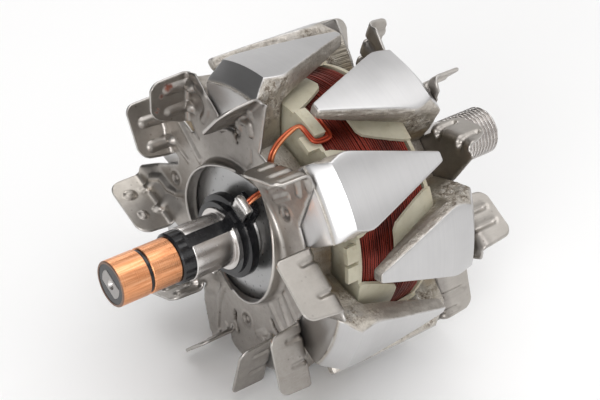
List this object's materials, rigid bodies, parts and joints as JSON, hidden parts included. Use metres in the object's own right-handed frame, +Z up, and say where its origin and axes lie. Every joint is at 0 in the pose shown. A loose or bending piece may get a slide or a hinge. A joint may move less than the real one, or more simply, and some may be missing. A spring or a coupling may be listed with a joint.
{
  "type": "claw pole generator rotor",
  "caption": "Rotor of a claw-pole generator: shaft with slip rings, interleaved claw poles round a field winding, and a sheet fan on each face.",
  "frame": {"origin": "on the shaft axis at the middle of the overall length", "axes": "+Y along the shaft towards the threaded drive end, slip rings at -Y, +Z up with one slip ring side claw nearly uppermost, +X to the right seen from the slip rings"},
  "size_m": [0.106, 0.151, 0.106],
  "materials": {
    "pole_steel": "rough forged sides, turned satin outside",
    "shaft_steel": "ground",
    "fan_sheet": "pressed sheet, satin",
    "slip_copper": "turned copper, satin",
    "conductor_copper": "tinned copper",
    "winding_enamel": "enamelled copper wire, gloss",
    "lead_enamel": "enamelled copper wire, gloss",
    "bobbin_nylon": "moulded, natural",
    "black_moulding": "moulded, black"
  },
  "bodies": {
    "root": {"shaft": "shaft_steel", "pole_half_slip_ring_side": "pole_steel", "pole_half_drive_side": "pole_steel", "fan_slip_ring_side": "fan_sheet", "fan_drive_side": "fan_sheet", "bobbin": "bobbin_nylon", "field_winding": "winding_enamel", "winding_lead_start": "lead_enamel", "winding_lead_finish": "lead_enamel", "slip_ring_outer": "slip_copper", "slip_ring_inner": "slip_copper", "slip_ring_moulding": "black_moulding", "conductor_bar_outer_ring": "conductor_copper", "conductor_bar_inner_ring": "conductor_copper"}
  },
  "joints": []
}
